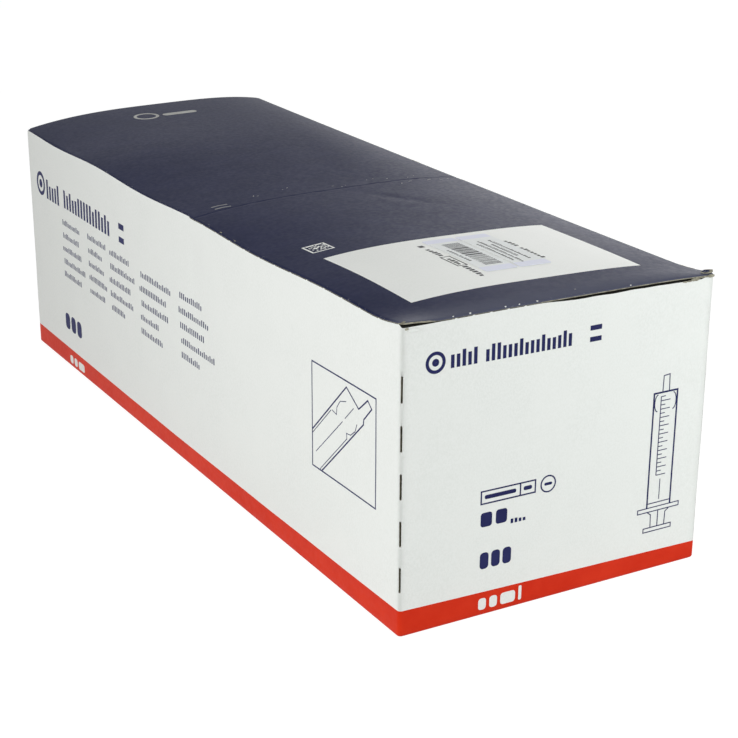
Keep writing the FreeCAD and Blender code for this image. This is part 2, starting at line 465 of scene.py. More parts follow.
def corner_lift(x, y):
    off = ((x + HALF_WIDTH) ** 2 + (y + HALF_LENGTH) ** 2) / LEFT_CORNER_REACH ** 2
    return LEFT_CORNER_LIFT * exp(-off)


def crease_line(x):
    wander = GROOVE_WANDER * noise.noise(Vector((x / GROOVE_WANDER_LENGTH, 0, 0)))
    return CREASE_Y + CREASE_SKEW * x / HALF_WIDTH + wander


def groove(x, y):
    off = (y - crease_line(x)) / GROOVE_WIDTH
    level, swing, length = GROOVE_UNEVEN
    uneven = level + swing * noise.noise(Vector((x / length, 5, 0)))
    return GROOVE_DEPTH * uneven * exp(-off * off)


def lid_dents(x, y):
    """Soft dents of the top, none at its edges."""
    depth = 0.0
    for (middle_x, middle_y), along, across, turn, deep in LID_DENTS:
        angle = radians(turn)
        u = (x - middle_x) * cos(angle) + (y - middle_y) * sin(angle)
        v = (y - middle_y) * cos(angle) - (x - middle_x) * sin(angle)
        depth += deep * exp(-(u / along) ** 2 - (v / across) ** 2)
    return depth * smooth((HALF_WIDTH - abs(x)) / LID_DENT_FADE)


def top_height(x, y):
    return HEIGHT + edge_line(x, y) + crown(x, y) + corner_lift(x, y) - groove(x, y) - lid_dents(x, y)


def rounded(x, y):
    """Bends the square corners of the plan into the upright folds."""
    r = UPRIGHT_RADIUS
    a = (abs(x) - HALF_WIDTH + r) / r
    b = (abs(y) - HALF_LENGTH + r) / r
    if a <= 0 or b <= 0:
        return x, y
    reach = max(a, b) * r
    angle = b / a * pi / 4 if a >= b else pi / 2 - a / b * pi / 4
    bent_x = copysign(HALF_WIDTH - r + reach * cos(angle), x)
    bent_y = copysign(HALF_LENGTH - r + reach * sin(angle), y)
    return bent_x, bent_y


def bulge_share(z):
    """Share of the bulge at a level: none at the base, all half-way up."""
    reach = HEIGHT + WALL_OVERRUN
    middle = HEIGHT / 2
    return z * (reach - z) / (middle * (reach - middle))


def bulged(x, y, z):
    """Moves a plan point outward with the walls at level z."""
    along_x = min(1.0, abs(x) / (HALF_WIDTH - UPRIGHT_RADIUS))
    along_y = min(1.0, abs(y) / (HALF_LENGTH - UPRIGHT_RADIUS))
    share = bulge_share(z)
    push_x = SIDE_BULGE * (1 - along_y ** 2) ** 2 * share * x / HALF_WIDTH
    push_y = END_BULGE * (1 - along_x ** 2) ** 2 * share * y / HALF_LENGTH
    return x + push_x, y + push_y


def wall_wave(x, y, z):
    """Small dents and swells of a wall, none at its top and foot."""
    fade = smooth(z / WAVE_FADE) * smooth((HEIGHT - WAVE_END - z) / WAVE_FADE)
    place = Vector((x / WAVE_LENGTH, y / WAVE_LENGTH, z / WAVE_LENGTH))
    wave = WAVE_DEPTH * noise.noise(place)
    if x < UPRIGHT_RADIUS - HALF_WIDTH:
        off_y = (y - WALL_DENT_Y) / WALL_DENT_REACH[0]
        off_z = (z - WALL_DENT_Z) / WALL_DENT_REACH[1]
        wave -= WALL_DENT_DEPTH * exp(-off_y ** 2 - off_z ** 2)
    return fade * wave


def wall_point(x, y, z, lift=0.0):
    """Point on a wall, over plan point (x, y) of the outline."""
    bent_x, bent_y = rounded(x, y)
    out_x, out_y = bulged(bent_x, bent_y, z)
    push = wall_wave(x, y, z) + lift
    side_x = (abs(x) - HALF_WIDTH + UPRIGHT_RADIUS) / UPRIGHT_RADIUS
    side_y = (abs(y) - HALF_LENGTH + UPRIGHT_RADIUS) / UPRIGHT_RADIUS
    way = Vector((copysign(max(0.0, side_x), x), copysign(max(0.0, side_y), y)))
    way.normalize()
    return out_x + way.x * push, out_y + way.y * push, z


def plan_point(x, y, inset, z):
    """Plan point drawn in by an inset, bulged for level z."""
    bent_x, bent_y = rounded(x, y)
    drawn_x = bent_x * (HALF_WIDTH - inset) / HALF_WIDTH
    drawn_y = bent_y * (HALF_LENGTH - inset) / HALF_LENGTH
    return bulged(drawn_x, drawn_y, z)


def band_top(x, y):
    sag = BAND_SAG * cos(pi * y / LENGTH)
    return BAND_HEIGHT - BAND_SLOPE * x - sag


# Grid lines and the gap under the lid

def cut_stretches(start, end, pitch):
    """Cut stretches between the nicks from start to end."""
    count = max(1, round((end - start) / pitch))
    step = (end - start) / count
    half = NICK_WIDTH / 2
    return [(start + i * step + half, start + (i + 1) * step - half) for i in range(count)]


FRONT_CUTS = cut_stretches(-HALF_WIDTH, HALF_WIDTH, FRONT_NICK_PITCH)
SIDE_CUTS = cut_stretches(-HALF_LENGTH + LID_GAP_DEPTH, CREASE_Y, SIDE_NICK_PITCH)


def stretch_lines(stretches):
    """Grid lines at the ends of the cut stretches and just inside them."""
    return [line for start, end in stretches for line in (start, start + NICK_EASE, end - NICK_EASE, end)]


def inside(value, stretches):
    return any(start < value < end for start, end in stretches)


def grid_lines(half, fixed):
    """Even lines across the plan, the lines of the folds and the fixed ones."""
    lines = [half, -half]
    for share in (0.3, 0.65, 1.0):
        lines += [half - UPRIGHT_RADIUS * share, UPRIGHT_RADIUS * share - half]
    inner = half - UPRIGHT_RADIUS
    lines += [value for value in fixed if abs(value) < inner - MERGE * 1000]
    count = round(2 * inner / GRID_STEP)
    for i in range(1, count):
        value = -inner + 2 * inner * i / count
        if min(abs(value - other) for other in lines) > GRID_STEP / 5:
            lines.append(value)
    return sorted(set(lines))


def crease_lines():
    reach = CREASE_SKEW + 3 * GROOVE_WIDTH
    count = round(2 * reach / GROOVE_STEP)
    return [CREASE_Y - reach + 2 * reach * i / count for i in range(count + 1)]


def lid_gap_at(x, y):
    """Height of the gap under the lid board at a point of the outline."""
    fade = smooth(1 - (y + HALF_LENGTH) / CORNER_GAP_FADE)
    corner = CORNER_GAP_HEIGHT * exp(-((x + HALF_WIDTH) / CORNER_GAP_REACH) ** 2) * fade
    if corner < CORNER_GAP_LEAST:
        corner = 0.0
    swing, length = LID_GAP_UNEVEN
    uneven = 1 + swing * noise.noise(Vector((x / length, y / length, 0)))
    start, end = LID_OPEN
    plain = 0.0
    if y < UPRIGHT_RADIUS - HALF_LENGTH:
        if start < x < end:
            plain = LID_GAP + (LID_GAP_OPEN - LID_GAP) * smooth((x - start) / LID_OPEN_RISE)
        elif inside(x, FRONT_CUTS):
            plain = LID_GAP
    elif y < CREASE_Y and abs(x) > HALF_WIDTH - UPRIGHT_RADIUS and inside(y, SIDE_CUTS):
        plain = LID_GAP
    return max(corner, plain * uneven)


def ring_order(columns, rows):
    """Grid indices round the border, anticlockwise from the front left corner."""
    order = [(i, 0) for i in range(columns)]
    order += [(columns - 1, j) for j in range(1, rows)]
    order += [(i, rows - 1) for i in range(columns - 2, -1, -1)]
    order += [(0, j) for j in range(rows - 2, 0, -1)]
    return order


def cut_radius(x, y):
    """Radius of the cut edge of the lid, small where its raw board shows."""
    if y > UPRIGHT_RADIUS - HALF_LENGTH:
        return CUT_RADIUS
    if x < BARE_CORNER_X:
        return CUT_RADIUS_BARE
    return CUT_RADIUS_OPEN if x > LID_OPEN[0] else CUT_RADIUS


def ring_levels(x, y):
    """Points over one border point, from base to rim, with the material above each."""
    folded = y > CREASE_Y
    drop = FOLD_RADIUS if folded else BOARD
    edge = FOLD_RADIUS if folded else cut_radius(x, y)
    rim_x, rim_y = plan_point(x, y, 0, HEIGHT)
    rim = top_height(rim_x, rim_y)
    gap = lid_gap_at(x, y)
    depth = LID_GAP_DEPTH if gap else 0.0
    found = []
    for part in (0, 30, 60):
        angle = radians(part)
        inset = BASE_RADIUS * (1 - sin(angle))
        z = BASE_RADIUS * (1 - cos(angle))
        found.append((*plan_point(x, y, inset, z), z, RED))
    top_of_band = band_top(x, y)
    wall_top = rim - drop - gap
    band = (BASE_RADIUS, top_of_band, BAND_ROWS, RED)
    wall = (top_of_band, wall_top, WALL_ROWS, WHITE)
    for low, high, rows, field in (band, wall):
        heights = [low + (high - low) * row / rows for row in range(rows)]
        found += [(*wall_point(x, y, z), field) for z in heights]
    in_x, in_y = plan_point(x, y, depth, HEIGHT)
    # The gap under the lid board is lined with the painted shade material
    found += [
        (rim_x, rim_y, wall_top, INNER_SHADE),
        (in_x, in_y, wall_top, INNER_SHADE),
        (in_x, in_y, rim - drop, INNER_SHADE),
        (rim_x, rim_y, rim - drop, WHITE if folded else RAW),
    ]
    for part in (0, 30, 60, 90):
        angle = radians(part)
        cut_x, cut_y = plan_point(x, y, edge * (1 - cos(angle)), HEIGHT)
        z = top_height(cut_x, cut_y) - edge * (1 - sin(angle))
        found.append((cut_x, cut_y, z, WHITE if folded and part < 30 else NAVY))
    return found


def in_window(x, y):
    return WINDOW_X[0] < x < WINDOW_X[1] and WINDOW_Y[0] < y < WINDOW_Y[1]


def wear_at(x, y, z):
    """Wear near the folds and corners, from 0 to 1."""
    px, py = abs(x) - HALF_WIDTH, abs(y) - HALF_LENGTH
    upright = WEAR_FOLD[0] * exp(-(px ** 2 + py ** 2) / WEAR_FOLD[1])
    foot = WEAR_FOOT[0] * exp(-(z / WEAR_FOOT[1]) ** 2)
    share, reach = WEAR_RIM
    rim = share * exp(-((z - top_height(x, y)) / reach) ** 2) * exp(-(max(px, py) / reach) ** 2)
    return min(1.0, upright + foot + rim)


def mesh_object(name, points, faces, materials, indices=None):
    """Mesh in metres from points in millimetres, doubles merged and sharp edges marked."""
    mesh = bpy.data.meshes.new(name)
    mesh.from_pydata([to_metres(p) for p in points], [], faces)
    for material in materials:
        mesh.materials.append(material)
    if indices:
        mesh.polygons.foreach_set("material_index", indices)
    work = bmesh.new()
    work.from_mesh(mesh)
    bmesh.ops.remove_doubles(work, verts=work.verts, dist=MERGE)
    bmesh.ops.recalc_face_normals(work, faces=work.faces)
    work.to_mesh(mesh)
    work.free()
    mesh.polygons.foreach_set("use_smooth", [True] * len(mesh.polygons))
    mesh.set_sharp_from_angle(angle=radians(SHARP_ANGLE))
    made = bpy.data.objects.new(name, mesh)
    bpy.context.collection.objects.link(made)
    return made


def carton_mesh(materials):
    """The closed board shell, with its printed fields as materials."""
    xs = grid_lines(HALF_WIDTH, stretch_lines(FRONT_CUTS) + list(WINDOW_X))
    ys = grid_lines(HALF_LENGTH, stretch_lines(SIDE_CUTS) + list(WINDOW_Y) + crease_lines())
    ring = ring_order(len(xs), len(ys))
    borders = [ring_levels(xs[i], ys[j]) for i, j in ring]
    count, levels = len(ring), len(borders[0])
    points = [p[:3] for border in borders for p in border]
    fields = [p[3] for border in borders for p in border]
    faces, indices = [], []
    for k in range(count):
        near, far = k * levels, (k + 1) % count * levels
        for level in range(levels - 1):
            faces.append((near + level, far + level, far + level + 1, near + level + 1))
            indices.append(fields[near + level])
    faces.append(tuple(k * levels for k in range(count - 1, -1, -1)))
    indices.append(WHITE)
    start = len(points)
    for y in ys:
        for x in xs:
            flat_x, flat_y = plan_point(x, y, TOP_INSET, HEIGHT)
            points.append((flat_x, flat_y, top_height(flat_x, flat_y)))
    columns = len(xs)
    for j in range(len(ys) - 1):
        for i in range(columns - 1):
            a = start + j * columns + i
            faces.append((a, a + 1, a + columns + 1, a + columns))
            middle_x, middle_y = (xs[i] + xs[i + 1]) / 2, (ys[j] + ys[j + 1]) / 2
            indices.append(WHITE if in_window(middle_x, middle_y) else NAVY)
    for k, (i, j) in enumerate(ring):
        low = k * levels + levels - 1
        far = (k + 1) % count
        i2, j2 = ring[far]
        next_low = far * levels + levels - 1
        faces.append((low, next_low, start + j2 * columns + i2, start + j * columns + i))
        indices.append(NAVY)
    return mesh_object("carton_shell", points, faces, materials, indices)


def add_prism(points, faces, near, far):
    """Closed prism between two outlines."""
    base, count = len(points), len(near)
    points += near + far
    faces.append(tuple(range(base, base + count)))
    faces.append(tuple(range(base + 2 * count - 1, base + count - 1, -1)))
    for k in range(count):
        m = (k + 1) % count
        faces.append((base + k, base + m, base + count + m, base + count + k))


def add_ball(points, faces, middle, radius, rings=6, sides=10):
    base = len(points)
    x, y, z = middle
    points.append((x, y, z - radius))
    for i in range(1, rings):
        tilt = pi * i / rings
        reach = radius * sin(tilt)
        level = z - radius * cos(tilt)
        points += [(u, v, level) for u, v in arc(x, y, reach, reach, 0, 360, sides)[:-1]]
    points.append((x, y, z + radius))
    last = len(points) - 1
    for k in range(sides):
        m = (k + 1) % sides
        faces.append((base, base + 1 + m, base + 1 + k))
        for i in range(rings - 2):
            a = base + 1 + i * sides
            faces.append((a + k, a + m, a + sides + m, a + sides + k))
        faces.append((last, last - sides + k, last - sides + m))


def cutters(materials):
    """Tear slots across the front folds, the two flap seams and the rear pinholes."""
    points, faces = [], []
    radius = SLOT_WIDTH / 2
    half = SLOT_LENGTH / 2 - radius
    inset = UPRIGHT_RADIUS * (1 - sqrt(0.5))
    for side in (-1, 1):
        way = Vector((side, -1)).normalized()
        across = Vector((-way.y, way.x))
        corner = Vector((side * (HALF_WIDTH - inset), inset - HALF_LENGTH))
        for i in range(SLOT_COUNT):
            z = HEIGHT / 2 + (i - (SLOT_COUNT - 1) / 2) * SLOT_PITCH
            outline = arc(0, z + half, radius, radius, 0, 180, SLOT_SIDES)
            outline += arc(0, z - half, radius, radius, 180, 360, SLOT_SIDES)
            ends = []
            for reach in (-SLOT_DEPTH, SLOT_DEPTH):
                end = corner + way * reach
                ends.append([(*(end + across * offset), level) for offset, level in outline])
            add_prism(points, faces, *ends)
    base_seam = (HALF_WIDTH - SEAM_DEPTH, HALF_WIDTH + SIDE_BULGE, -BASE_SEAM_END, BASE_SEAM_END,
                 BASE_SEAM_Z, BASE_SEAM_Z + SEAM_GAP)
    lap_seam = (LAP_SEAM_X - SEAM_GAP, LAP_SEAM_X, HALF_LENGTH - SEAM_DEPTH, HALF_LENGTH + SIDE_BULGE,
                LAP_SEAM_END, HEIGHT - LAP_SEAM_END)
    for x0, x1, y0, y1, z0, z1 in (base_seam, lap_seam):
        plan = ((x0, y0), (x1, y0), (x1, y1), (x0, y1))
        add_prism(points, faces, [(*spot, z0) for spot in plan], [(*spot, z1) for spot in plan])
    raw_faces = len(faces)
    for side in (-1, 1):
        x, y = side * (HALF_WIDTH - HOLE_INSET), HALF_LENGTH - HOLE_INSET
        add_ball(points, faces, (x, y, top_height(x, y)), HOLE_RADIUS)
    # The pinholes take the painted shade material
    indices = [RAW] * raw_faces + [INNER_SHADE] * (len(faces) - raw_faces)
    return mesh_object("cutters", points, faces, materials, indices)


def cut_shell(shell, cutter):
    """Makes the cuts and keeps the result as the shell's own mesh."""
    modifier = shell.modifiers.new("cuts", "BOOLEAN")
    modifier.operation = "DIFFERENCE"
    modifier.solver = "EXACT"
    modifier.object = cutter
    graph = bpy.context.evaluated_depsgraph_get()
    result = bpy.data.meshes.new_from_object(shell.evaluated_get(graph))
    shell.modifiers.clear()
    old = shell.data
    shell.data = result
    bpy.data.meshes.remove(old)
    bpy.data.objects.remove(cutter)
    result.name = "carton_shell"


def fold_shade_at(x, y, z):
    """Nearness to an upright fold, from 0 to 1, for the painted shade along it."""
    px, py = abs(x) - HALF_WIDTH, abs(y) - HALF_LENGTH
    return exp(-(px ** 2 + py ** 2) / FOLD_SHADE_WIDTH)


def painted_sheen_at(x, y, z):
    """Painted sheen on the lid's front strip and a fainter one at its rear right, stronger to the right."""
    if z < HEIGHT - BOARD:
        return 0.0
    rear = REAR_PAINTED_SHEEN * smooth((y - REAR_PAINTED_SHEEN_START) / HALF_LENGTH) * (1 + x / WIDTH)
    return PAINTED_SHEEN * exp(-((y + HALF_LENGTH) / PAINTED_SHEEN_REACH) ** 2) + rear


def mark_wear_shade_and_sheen(shell):
    """Stores wear, the painted fold shade and the painted sheen of each point for the materials."""
    mesh = shell.data
    for name, found in (("wear", wear_at), ("fold", fold_shade_at), ("painted_sheen", painted_sheen_at)):
        stored = mesh.attributes.new(name, "FLOAT", "POINT")
        values = [found(v.co.x * 1000, v.co.y * 1000, v.co.z * 1000) for v in mesh.vertices]
        stored.data.foreach_set("value", values)


# Flat print

def on_front(u, v, lift):
    return wall_point(u, -HALF_LENGTH, v, lift)


def on_left(u, v, lift):
    return wall_point(-HALF_WIDTH, u, v, lift)


def on_lid(u, v, lift):
    return u, v, top_height(u, v) + lift


def on_label(u, v, lift):
    return on_lid(u, v, LABEL_TOP + lift)


class Print:
    """Thin closed plates of ink on one face, in that face's millimetres."""

    def __init__(self, place):
        self.place = place
        self.points = []
        self.faces = []

    def ribbon(self, near, far, closed=False):
        """Plate between two lines of points."""
        base = len(self.points)
        count = len(near)
        for a, b in zip(near, far):
            corners = ((*a, INK_HIGH), (*b, INK_HIGH), (*b, INK_LOW), (*a, INK_LOW))
            self.points += [self.place(*corner) for corner in corners]
        for i in range(count if closed else count - 1):
            a = base + 4 * i
            b = base + 4 * ((i + 1) % count)
            for k in range(4):
                m = (k + 1) % 4
                self.faces.append((a + k, b + k, b + m, a + m))
        if not closed:
            last = base + 4 * (count - 1)
            self.faces.append((base + 3, base + 2, base + 1, base))
            self.faces.append((last, last + 1, last + 2, last + 3))

    def bar(self, u0, u1, v0, v1, radius=0.0):
        """Upright rectangle with round ends towards -u and +u."""
        u0, u1 = sorted((u0, u1))
        half = abs(v1 - v0) / 2
        middle = (v0 + v1) / 2
        radius = min(radius, half * 0.96, (u1 - u0) / 2)
        stations = [(0.0, half)]
        if radius > 0:
            stations = arc(radius, half - radius, radius, radius, 180, 90, END_SIDES)
        count = max(1, ceil((u1 - u0) / PRINT_STEP))
        middles = [(u0 + (u1 - u0) * k / count, half) for k in range(1, count)]
        line = [(u0 + d, h) for d, h in stations]
        line += [m for m in middles if u0 + radius < m[0] < u1 - radius]
        line += [(u1 - d, h) for d, h in reversed(stations)]
        self.ribbon([(u, middle - h) for u, h in line], [(u, middle + h) for u, h in line])

    def upright_bar(self, u0, u1, v0, v1, radius=0.0):
        """Bar whose round ends point along v."""
        flat = Print(lambda u, v, lift: self.place(v, u, lift))
        flat.bar(v0, v1, u0, u1, radius)
        base = len(self.points)
        self.points += flat.points
        self.faces += [tuple(base + k for k in face) for face in flat.faces]

    def ring(self, u, v, radius, width):
        inner, outer = (arc(u, v, r, r, 0, 360, RING_SIDES)[:-1] for r in (radius - width, radius))
        self.ribbon(inner, outer, closed=True)

    def stroke(self, line, width, closed=False):
        """Line of even width with mitred corners."""
        dense = []
        for (u0, v0), (u1, v1) in zip(line, line[1:] + line[:1] if closed else line[1:]):
            count = max(1, ceil(hypot(u1 - u0, v1 - v0) / PRINT_STEP))
            for k in range(count):
                dense.append((u0 + (u1 - u0) * k / count, v0 + (v1 - v0) * k / count))
        if not closed:
            dense.append(line[-1])
        near, far = [], []
        for i, (u, v) in enumerate(dense):
            before = dense[i - 1] if i or closed else dense[i]
            after = dense[(i + 1) % len(dense)] if i + 1 < len(dense) or closed else dense[i]
            edges = []
            for a, b in ((before, (u, v)), ((u, v), after)):
                edge = Vector((a[1] - b[1], b[0] - a[0]))
                if edge.length > 0:
                    edges.append(edge.normalized())
            normal = sum(edges, Vector((0, 0))).normalized()
            reach = width / 2 / max(MITRE_LEAST, normal.dot(edges[0]))
            near.append((u - normal.x * reach, v - normal.y * reach))
            far.append((u + normal.x * reach, v + normal.y * reach))
        self.ribbon(near, far, closed)

    def make(self, name, material):
        made = mesh_object(name, self.points, self.faces, [material])
        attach(made, "root")
        return made


def arc(u, v, radius_u, radius_v, start, end, count=10):
    """Points along part of an ellipse, angles in degrees."""
    turns = [radians(start + (end - start) * k / count) for k in range(count + 1)]
    return [(u + radius_u * cos(turn), v + radius_v * sin(turn)) for turn in turns]


def block_row(sheet, start, end, v0, v1, width, gap, upright=False, seed=1):
    """Row of small blocks, uneven in height, in place of small print."""
    pick = random.Random(seed)
    u, stop = sorted((start, end))
    while u + width <= stop + width / 2:
        top = v1 - (v1 - v0) * pick.choice((0, 0, 0.22, 0.28))
        if upright:
            sheet.bar(v0, top, u, u + width)
        else:
            sheet.bar(u, u + width, v0, top)
        u += width + gap


def flat_bars(sheet, start, end, low, high):
    """Two flat bars, one above the other."""
    thick = (high - low) * FLAT_BAR_SHARE
    sheet.bar(start, end, low, low + thick)
    sheet.bar(start, end, high - thick, high)


def outline_box(sheet, u0, u1, v0, v1, width):
    """Outline of an upright rectangle."""
    sheet.stroke([(u0, v0), (u1, v0), (u1, v1), (u0, v1)], width, closed=True)


def figure_row(sheet, start, step, sizes, low, high, corner):
    """Row of rounded upright bars in place of figures."""
    for k, size in enumerate(sizes):
        u = start + step * k
        sheet.upright_bar(u, u + size, low, high, corner)


# Line widths and shares of the print
THIN = 0.42
FRAME_LINE = 0.6
FINE_LINE = 0.32
MARK_LINE = 0.36
BARREL_LINE = 0.75
FLAT_BAR_SHARE = 0.3
MITRE_LEAST = 0.35
RING_SIDES = 32
END_SIDES = 4

# Front print. Rows and bars are start, end, low and high, blocks are stroke and gap
FRONT_RINGS = ((-58.1, 109.2, 4.3, 1.35), (-58.1, 109.2, 1.5, 1.45), (-5.5, 50.5, 3.7, 0.6))
FRONT_HEADLINE = ((-51.5, -39.8, 106.0, 112.6), (-36.2, 3.5, 106.0, 112.6))
FRONT_END_BARS = (11.5, 17.0, 106.0, 112.6)
FRONT_HEADLINE_BLOCKS = (1.5, 1.0)
NOTE_BOX = (-36.6, -11.6, 48.2, 53.4)
NOTE_SPLIT = -18.6
FRONT_BARS = (
    (-35.0, -20.6, 50.0, 51.7, 0.7),
    (-17.1, -13.2, 50.0, 51.7, 0.7),
    (-7.3, -3.7, 49.9, 51.1, 0.5),
    (-36.6, -31.4, 38.4, 44.4, 1.2),
    (-29.6, -24.4, 38.4, 44.4, 1.2),
)
FRONT_SMALL_ROW = (-22.6, -15.3, 37.2, 39.1, 1.2, 0.7)
FRONT_FIGURES = (-36.4, 5.3, (4.0, 4.0, 4.0), 20.4, 27.4, 1.5)
FRONT_BAND_FIGURES = (-36.4, 5.2, (3.6, 3.6, 7.0), 2.6, 7.6, 1.3)
FRONT_BAND_BAR = (-17.4, -16.0, 2.6, 8.8, 0.5)

# Syringe drawing: offsets from its middle and heights
SYRINGE_X = 51.3
BARREL_HALF = 6.0
BARREL_Z = (28.4, 78.6)
BARREL_RING_Z = 30.3
NOZZLE = ((-1.7, 78.6), (-1.5, 85.6), (1.5, 85.9), (1.7, 78.6))
FLANGE = (10.7, 26.6, 28.4)
THUMB_REST = (7.2, 17.6, 19.4)
STEM = ((5.6, 26.5), (3.8, 25.2), (3.6, 19.4))
STEM_Z = (26.5, 19.4)
STOPPER = (3.9, 74.2, 1.6, 3.6)
ROD = ((40.5, 31.5), MARK_LINE)
SCALE_OFFSET = -2.3
SCALE_Z = (42.5, 76.8)
SCALE_MARKS = 20
SCALE_REACH = (4.8, 2.3)


def syringe_drawing(sheet):
    """Plain line drawing of a two-part syringe with its scale."""
    foot, top = BARREL_Z
    left, right = SYRINGE_X - BARREL_HALF, SYRINGE_X + BARREL_HALF
    sheet.stroke([(SYRINGE_X + x, z) for x, z in NOZZLE], THIN)
    sheet.stroke([(left, foot), (left, top), (right, top), (right, foot)], BARREL_LINE)
    sheet.stroke([(left, BARREL_RING_Z), (right, BARREL_RING_Z)], THIN)
    for half, low, high in (FLANGE, THUMB_REST):
        outline_box(sheet, SYRINGE_X - half, SYRINGE_X + half, low, high, THIN)
    offset, middle_z, radius_x, radius_z = STOPPER
    for side in (-1, 1):
        sheet.stroke([(SYRINGE_X + side * x, z) for x, z in STEM], THIN)
        curve = arc(SYRINGE_X + side * offset, middle_z, radius_x, radius_z, 90, 90 - side * 180)
        sheet.stroke(curve, THIN)
    scale_x = SYRINGE_X + SCALE_OFFSET
    for x, span, width in ((SYRINGE_X, STEM_Z, THIN), (scale_x, SCALE_Z, THIN), (SYRINGE_X, *ROD)):
        sheet.stroke([(x, z) for z in span], width)
    low, high = SCALE_Z
    for k in range(SCALE_MARKS):
        z = low + (high - low) * k / (SCALE_MARKS - 1)
        sheet.stroke([(scale_x, z), (scale_x + SCALE_REACH[k % 2], z)], MARK_LINE)


def front_print(navy, white):
    sheet = Print(on_front)
    for ring in FRONT_RINGS:
        sheet.ring(*ring)
    for k, word in enumerate(FRONT_HEADLINE):
        block_row(sheet, *word, *FRONT_HEADLINE_BLOCKS, seed=60 + k)
    flat_bars(sheet, *FRONT_END_BARS)
    outline_box(sheet, *NOTE_BOX, FRAME_LINE)
    sheet.stroke([(NOTE_SPLIT, z) for z in NOTE_BOX[2:]], FRAME_LINE)
    for bar in FRONT_BARS:
        sheet.bar(*bar)
    block_row(sheet, *FRONT_SMALL_ROW, seed=3)
    figure_row(sheet, *FRONT_FIGURES)
    syringe_drawing(sheet)
    sheet.make("front_print", navy)
    pale = Print(on_front)
    figure_row(pale, *FRONT_BAND_FIGURES)
    pale.bar(*FRONT_BAND_BAR)
    pale.make("front_band_print", white)


# Left print, from the rear to the front
LEFT_RINGS = ((187.0, 97.9, 6.7, 2.1), (187.0, 97.9, 2.4, 2.35))
LEFT_HEADLINE = ((178.0, 157.5, 91.2, 102.0), (150.5, 80.8, 92.0, 101.8))
LEFT_END_BARS = (67.5, 60.5, 92.4, 102.2)
LEFT_HEADLINE_BLOCKS = (2.5, 1.9)
LEFT_FIGURES = (157.6, -9.2, (-7.0, -7.0, -7.0), 22.0, 31.0, 2.6)
LEFT_BAND_FIGURES = (154.0, -6.6, (-4.6, -4.6, -9.0), 2.4, 7.0, 1.5)

# Columns of small words: start, length of each row, shift of the column
WORD_COLUMNS = (
    (154.0, (27, 25, 28, 33, 26), 0.0),
    (113.6, (26, 20, 22, 26, 22), 1.1),
    (82.3, (27, 34, 28, 31, 19), 0.6),
    (40.6, (38, 32, 34, 22, 26), -0.5),
    (-7.5, (25, 32, 27, 38, 21), 1.7),
)
WORD_TOP = 83.4
WORD_PITCH = 7.3
WORD_HEIGHT = 3.0
WORD_BLOCKS = (0.95, 1.15)

# Pictogram
PICTOGRAM = (-137.4, -187.9, 47.0, 91.8)
BARREL_OUTLINE = (
    (-137.4, 62.6), (-165.2, 89.3), (-174.8, 83.4), (-181.7, 89.1),
    (-184.7, 86.5), (-178.7, 80.4), (-178.4, 78.2), (-145.0, 47.0),
)
BARREL_FINE_LINES = (
    ((-137.4, 61.0), (-153.0, 75.9)),
    ((-143.2, 47.0), (-165.6, 68.0)),
    ((-140.4, 54.0), (-162.2, 74.1)),
    ((-164.0, 75.9), (-170.8, 82.3)),
    ((-153.7, 76.2), (-157.4, 75.4), (-157.7, 78.6), (-160.3, 81.9), (-165.0, 83.3)),
    ((-165.6, 68.0), (-165.2, 70.2), (-168.4, 70.5), (-172.0, 73.2), (-173.4, 76.6)),
)


def pictogram(sheet):
    """Frame with a plain outline of a syringe barrel lying aslant."""
    outline_box(sheet, *PICTOGRAM, FRAME_LINE)
    sheet.stroke(BARREL_OUTLINE, FRAME_LINE)
    for line in BARREL_FINE_LINES:
        sheet.stroke(line, FINE_LINE)


def left_print(navy, white):
    sheet = Print(on_left)
    for ring in LEFT_RINGS:
        sheet.ring(*ring)
    for k, word in enumerate(LEFT_HEADLINE):
        block_row(sheet, *word, *LEFT_HEADLINE_BLOCKS, seed=70 + k)
    flat_bars(sheet, *LEFT_END_BARS)
    for column, (start, lengths, shift) in enumerate(WORD_COLUMNS):
        for row, size in enumerate(lengths):
            z = WORD_TOP + shift - WORD_PITCH * row
            span = (start, start - size, z - WORD_HEIGHT / 2, z + WORD_HEIGHT / 2)
            block_row(sheet, *span, *WORD_BLOCKS, seed=10 * column + row)
    figure_row(sheet, *LEFT_FIGURES)
    pictogram(sheet)
    sheet.make("left_print", navy)
    pale = Print(on_left)
    figure_row(pale, *LEFT_BAND_FIGURES)
    pale.make("left_band_print", white)


# Lid and label print
CODE_CENTRE = (-51.5, -102.7)
CODE_SIZE = 10.3
CODE_MARGIN = 0.8
CODE_CELLS = 12
CODE_FILL = 0.98
CODE_DARK = 0.5
CODE_SEED = 7
LID_ROWS = (
    (-164.0, -148.5, 17.6, 19.9, 1.5, 0.9),
    (-145.0, -134.7, 17.6, 19.9, 1.5, 0.9),
    (-145.0, -132.5, -18.7, -16.4, 1.5, 0.9),
    (-175.0, -162.0, -18.7, -16.4, 1.5, 0.9),
    (-158.6, -149.0, -18.5, -16.6, 1.6, 0.8),
)
LID_BLOCK = (-18.8, -16.4, -130.2, -127.6)
LID_BOX = (-19.6, -15.4, -160.2, -147.0)
LID_BOX_LINE = 0.55
BARCODE_X = (-9.2, -1.0)
BARCODE_Y = (-164.0, -131.0)
BAR_WIDTHS = (0.6, 0.6, 1.1, 1.6)
BAR_GAPS = (0.6, 0.6, 1.0)
BARCODE_SEED = 31
BARCODE_ROW = (-157.0, -139.0, -12.2, -11.0, 1.1, 0.7)
LABEL_LINES = ((4.3, -163.0, -136.0), (6.9, -166.0, -133.0), (9.5, -158.0, -139.0), (12.1, -163.0, -133.0))
LABEL_LINE_HEIGHT = 1.3
LABEL_BLOCKS = (1.0, 0.6)


